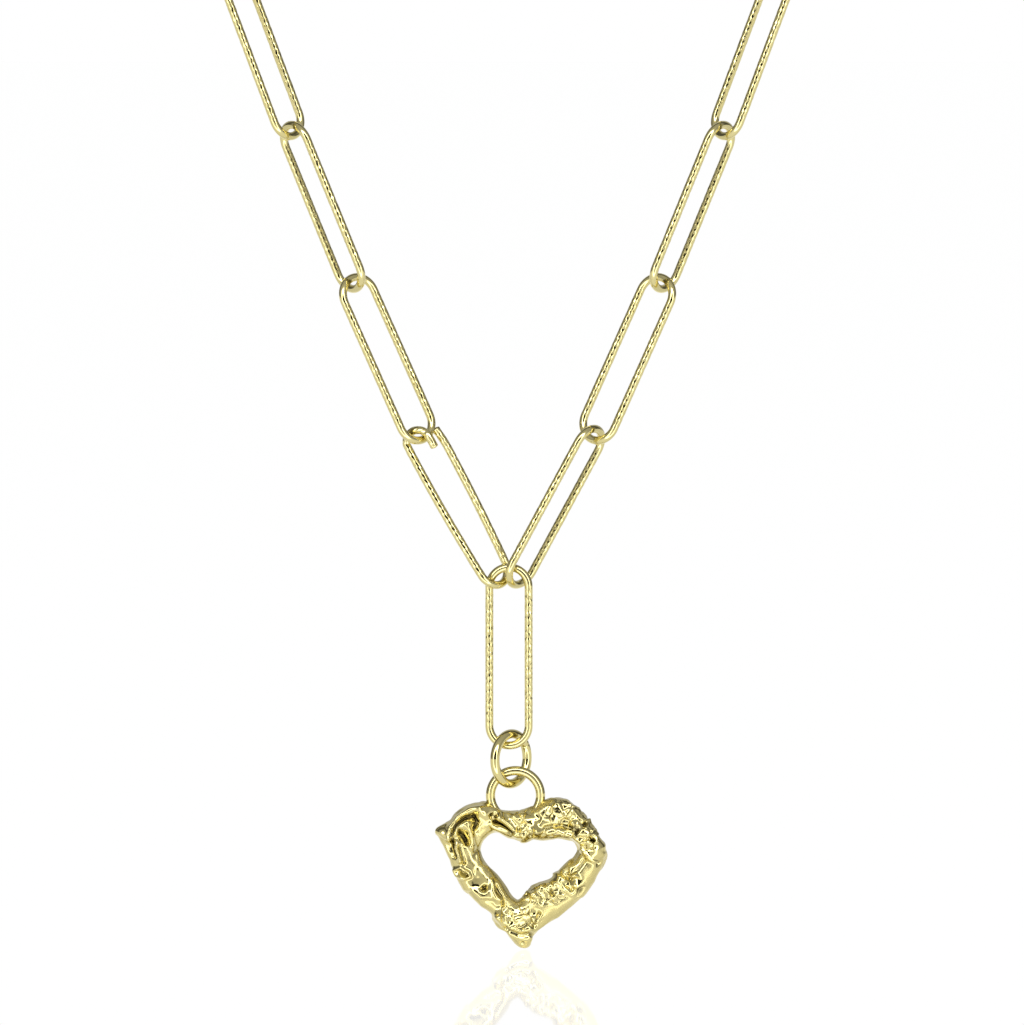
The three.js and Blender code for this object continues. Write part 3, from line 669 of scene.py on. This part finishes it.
def node_group(name, inputs, outputs):
    """An empty shader group with its sockets, and its input and output nodes."""
    group = bpy.data.node_groups.new(name, "ShaderNodeTree")
    for label, kind, value in inputs:
        socket = group.interface.new_socket(label, in_out="INPUT", socket_type=kind)
        socket.default_value = value
    for label, kind in outputs:
        group.interface.new_socket(label, in_out="OUTPUT", socket_type=kind)
    return group, group.nodes.new("NodeGroupInput"), group.nodes.new("NodeGroupOutput")


def wear_group():
    """Handling wear: a mask of hairline scratches and cloudy patches, and their height."""
    group, given, result = node_group(
        "handling_wear",
        [("Cloud Scale", "NodeSocketFloat", 300.0), ("Scratch Scale", "NodeSocketFloat", 2500.0)],
        [("Cloud", "NodeSocketFloat"), ("Height", "NodeSocketFloat")],
    )
    place = group.nodes.new("ShaderNodeTexCoord")
    cloud = group.nodes.new("ShaderNodeTexNoise")
    cloud.inputs["Detail"].default_value = 3
    stretch = group.nodes.new("ShaderNodeMapping")
    stretch.inputs["Scale"].default_value = (1.0, 1.0, 0.12)
    stretch.inputs["Rotation"].default_value = (0.3, 0.9, 0.5)
    scratch = group.nodes.new("ShaderNodeTexNoise")
    scratch.inputs["Detail"].default_value = 2
    sharp = group.nodes.new("ShaderNodeMapRange")
    sharp.inputs["From Min"].default_value = 0.60
    sharp.inputs["From Max"].default_value = 0.72
    link = group.links.new
    link(place.outputs["Object"], cloud.inputs["Vector"])
    link(given.outputs["Cloud Scale"], cloud.inputs["Scale"])
    link(place.outputs["Object"], stretch.inputs["Vector"])
    link(stretch.outputs["Vector"], scratch.inputs["Vector"])
    link(given.outputs["Scratch Scale"], scratch.inputs["Scale"])
    link(scratch.outputs["Fac"], sharp.inputs["Value"])
    link(cloud.outputs["Fac"], result.inputs["Cloud"])
    link(sharp.outputs["Result"], result.inputs["Height"])
    return group


def gold(name, deep, pale, rough_low, rough_high, cloud_scale, bump):
    """Yellow gold whose colour drifts between two tones, and whose polish clouds with wear."""
    material = bpy.data.materials.new(name)
    material.use_nodes = True
    nodes, link = material.node_tree.nodes, material.node_tree.links.new
    shader = nodes["Principled BSDF"]
    shader.inputs["Metallic"].default_value = 1.0
    wear = nodes.new("ShaderNodeGroup")
    wear.node_tree = WEAR
    wear.inputs["Cloud Scale"].default_value = cloud_scale
    wear.inputs["Scratch Scale"].default_value = 2600.0
    tone = nodes.new("ShaderNodeMix")
    tone.data_type = "RGBA"
    tone.inputs["A"].default_value = (*deep, 1)
    tone.inputs["B"].default_value = (*pale, 1)
    rough = nodes.new("ShaderNodeMapRange")
    rough.inputs["From Min"].default_value = 0.3
    rough.inputs["From Max"].default_value = 0.7
    rough.inputs["To Min"].default_value = rough_low
    rough.inputs["To Max"].default_value = rough_high
    relief_node = nodes.new("ShaderNodeBump")
    relief_node.inputs["Strength"].default_value = 0.25
    relief_node.inputs["Distance"].default_value = bump
    link(wear.outputs["Cloud"], tone.inputs["Factor"])
    link(tone.outputs["Result"], shader.inputs["Base Color"])
    link(wear.outputs["Cloud"], rough.inputs["Value"])
    link(rough.outputs["Result"], shader.inputs["Roughness"])
    link(wear.outputs["Height"], relief_node.inputs["Height"])
    link(relief_node.outputs["Normal"], shader.inputs["Normal"])
    return material


# Painted shade: a near-black gold that the heart's base colour is mixed towards in the bottoms of its folds
# and crushed hollows.
PAINTED_FOLD_SHADE = (0.05, 0.038, 0.012)
SATIN, POLISH = 0.36, 0.08  # roughness of untouched casting and of worked wax


def satin_and_painted_fold_shade(material):
    """Adds the casting's own finish to the wear: satin where the wax was left alone, bright where it was
    worked, and dark with painted shade in the bottoms of the folds."""
    nodes, link = material.node_tree.nodes, material.node_tree.links.new
    rough = nodes["Principled BSDF"].inputs["Roughness"]
    wear = rough.links[0].from_socket
    worked = nodes.new("ShaderNodeAttribute")
    worked.attribute_name = "worked"
    finish = nodes.new("ShaderNodeMapRange")
    finish.inputs["From Min"].default_value = 0.1
    finish.inputs["From Max"].default_value = 0.75
    finish.inputs["To Min"].default_value = SATIN
    finish.inputs["To Max"].default_value = POLISH
    both = nodes.new("ShaderNodeMath")
    both.operation = "ADD"
    link(worked.outputs["Fac"], finish.inputs["Value"])
    link(finish.outputs["Result"], both.inputs[0])
    link(wear, both.inputs[1])
    link(both.outputs["Value"], rough)

    # Painted shade: the base colour darkens towards the near-black fold colour where the sunk mask is high.
    base = nodes["Principled BSDF"].inputs["Base Color"]
    clean = base.links[0].from_socket
    sunk = nodes.new("ShaderNodeAttribute")
    sunk.attribute_name = "sunk"
    painted_shade = nodes.new("ShaderNodeMix")
    painted_shade.data_type = "RGBA"
    painted_shade.inputs["B"].default_value = (*PAINTED_FOLD_SHADE, 1)
    link(sunk.outputs["Fac"], painted_shade.inputs["Factor"])
    link(clean, painted_shade.inputs["A"])
    link(painted_shade.outputs["Result"], base)


WEAR = wear_group()
CHAIN_GOLD = gold("chain_gold", (0.66, 0.575, 0.245), (0.76, 0.68, 0.35), 0.08, 0.14, 420.0, 2e-6)
POLISHED_GOLD = gold("polished_gold", (0.67, 0.575, 0.235), (0.75, 0.665, 0.325), 0.05, 0.09, 260.0, 1e-6)
CAST_GOLD = gold("cast_gold", (0.64, 0.545, 0.215), (0.75, 0.66, 0.31), 0.0, 0.06, 500.0, 3e-6)
satin_and_painted_fold_shade(CAST_GOLD)
SPRING_STEEL = gold("spring_steel", (0.50, 0.50, 0.49), (0.62, 0.62, 0.60), 0.22, 0.34, 900.0, 1e-6)


# ---------------------------------------------------------------------------------------------
# Studio
# ---------------------------------------------------------------------------------------------

FRAME_WIDTH = 102.4 * MM
CAMERA_AWAY = 1.2
CAMERA_RISE = 3.0  # degrees above level


def make_camera():
    """A long lens, level with the pendant. It frames the lower half of the necklace."""
    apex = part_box("right_link_01")[0][2] + WIRE / 2
    aim = np.array([0.45 * MM, 0, apex + 7.15 * MM])
    rise = math.radians(CAMERA_RISE)
    lens = bpy.data.cameras.new("camera")
    lens.sensor_width = 36.0
    lens.lens = lens.sensor_width * CAMERA_AWAY / FRAME_WIDTH
    lens.clip_start = 0.01
    camera = bpy.data.objects.new("camera", lens)
    camera.location = aim + CAMERA_AWAY * np.array([0, -math.cos(rise), math.sin(rise)])
    camera.rotation_euler = (math.pi / 2 - rise, 0, 0)
    bpy.context.scene.collection.objects.link(camera)
    bpy.context.scene.camera = camera


def make_floor():
    """A pale glossy sheet that the heart's tip all but touches."""
    mesh = bpy.data.meshes.new("floor")
    side, level = 6.0, CAD_BOX[0][2] - 0.1 * MM
    corners = [(-side, -side, level), (side, -side, level), (side, side, level), (-side, side, level)]
    mesh.from_pydata(corners, [], [(0, 1, 2, 3)])
    floor = bpy.data.objects.new("floor", mesh)
    bpy.context.scene.collection.objects.link(floor)
    material = bpy.data.materials.new("floor_sheet")
    material.use_nodes = True
    nodes, link = material.node_tree.nodes, material.node_tree.links.new
    nodes.remove(nodes["Principled BSDF"])
    glow = nodes.new("ShaderNodeEmission")
    glow.inputs["Color"].default_value = (1, 1, 1, 1)
    glow.inputs["Strength"].default_value = 1.9
    shine = nodes.new("ShaderNodeBsdfGlossy")
    shine.inputs["Roughness"].default_value = 0.03
    both = nodes.new("ShaderNodeMixShader")
    both.inputs["Fac"].default_value = 0.6
    link(glow.outputs["Emission"], both.inputs[1])
    link(shine.outputs["BSDF"], both.inputs[2])
    link(both.outputs["Shader"], nodes["Material Output"].inputs["Surface"])
    mesh.materials.append(material)


def make_studio():
    """A white tent: bright panels in a broad ring round the camera's opening, softer behind."""
    world = bpy.data.worlds.new("studio")
    bpy.context.scene.world = world
    world.use_nodes = True
    nodes, link = world.node_tree.nodes, world.node_tree.links.new
    background = nodes["Background"]
    place = nodes.new("ShaderNodeTexCoord")
    apart = nodes.new("ShaderNodeSeparateXYZ")
    ramp = nodes.new("ShaderNodeValToRGB")
    ramp.color_ramp.interpolation = "EASE"
    tones = [(0.0, 0.50), (0.16, 0.48), (0.25, 0.10), (0.38, 0.08), (0.50, 0.34), (0.70, 0.38),
             (0.835, 0.50), (0.868, 4.4), (0.915, 4.4), (0.938, 0.25), (0.952, 0.015), (1.0, 0.015)]
    elements = ramp.color_ramp.elements
    elements[0].position, elements[-1].position = tones[0][0], tones[-1][0]
    for at, _ in tones[1:-1]:
        elements.new(at)
    for element, (_, value) in zip(elements, tones):
        element.color = (value, value, value, 1)
    facing = nodes.new("ShaderNodeMapRange")
    facing.inputs["From Min"].default_value = 1.0
    facing.inputs["From Max"].default_value = -1.0
    lift = nodes.new("ShaderNodeMapRange")
    lift.inputs["From Min"].default_value = -0.7
    lift.inputs["From Max"].default_value = 0.7
    lift.inputs["To Min"].default_value = 0.7
    lift.inputs["To Max"].default_value = 1.25
    shaded = nodes.new("ShaderNodeVectorMath")
    shaded.operation = "SCALE"
    path = nodes.new("ShaderNodeLightPath")
    seen = nodes.new("ShaderNodeMix")
    seen.data_type = "RGBA"
    seen.inputs["B"].default_value = (1, 1, 1, 1)
    link(place.outputs["Generated"], apart.inputs["Vector"])
    link(apart.outputs["Y"], facing.inputs["Value"])
    link(facing.outputs["Result"], ramp.inputs["Fac"])
    link(ramp.outputs["Color"], shaded.inputs[0])
    link(apart.outputs["Z"], lift.inputs["Value"])
    link(lift.outputs["Result"], shaded.inputs["Scale"])
    link(shaded.outputs["Vector"], seen.inputs["A"])
    link(path.outputs["Is Camera Ray"], seen.inputs["Factor"])
    link(seen.outputs["Result"], background.inputs["Color"])
    bpy.context.scene.view_settings.view_transform = "Standard"


# ---------------------------------------------------------------------------------------------
# The necklace
# ---------------------------------------------------------------------------------------------

make_camera()
make_floor()
make_studio()

for side_index, side in enumerate(("right", "left")):
    for number in range(1, LINKS_PER_SIDE + 1):
        if (side, number) != ("left", 1):
            make_link(f"{side}_link_{number:02d}", LINK_SPAN, 100 * side_index + number)
make_open_link()
make_link("drop_link", DROP_SPAN, 300)

jump_top, bail_top = pivot_of("jump_ring_swing"), pivot_of("heart_swing")
below = np.array([0, 0, RING_MIDDLE])
make_ring("round_jump_ring", "jump_ring", "jump_ring", jump_top - below, lie_of("jump_ring")[3],
          RING_MIDDLE, RING_WIRE, 2.6)
make_ring("round_bail", "bail", "heart", bail_top - below, (0, 1, 0), RING_MIDDLE, RING_WIRE, 4.7)
for node, seam_at in (("end_ring", 0.4), ("clasp_ring", 2.8)):
    centre, _, _, normal = lie_of(node)
    make_ring("round_" + node, node, node, centre, normal, SPLIT_MIDDLE, SPLIT_WIRE, seam_at)

make_heart()
softened("cast_clasp", "clasp_body", POLISHED_GOLD, "clasp", 0.05 * MM, 6)
softened("cast_lever", "clasp_lever", POLISHED_GOLD, "lever", 0.04 * MM, 5)
make_rivet()
make_spring()
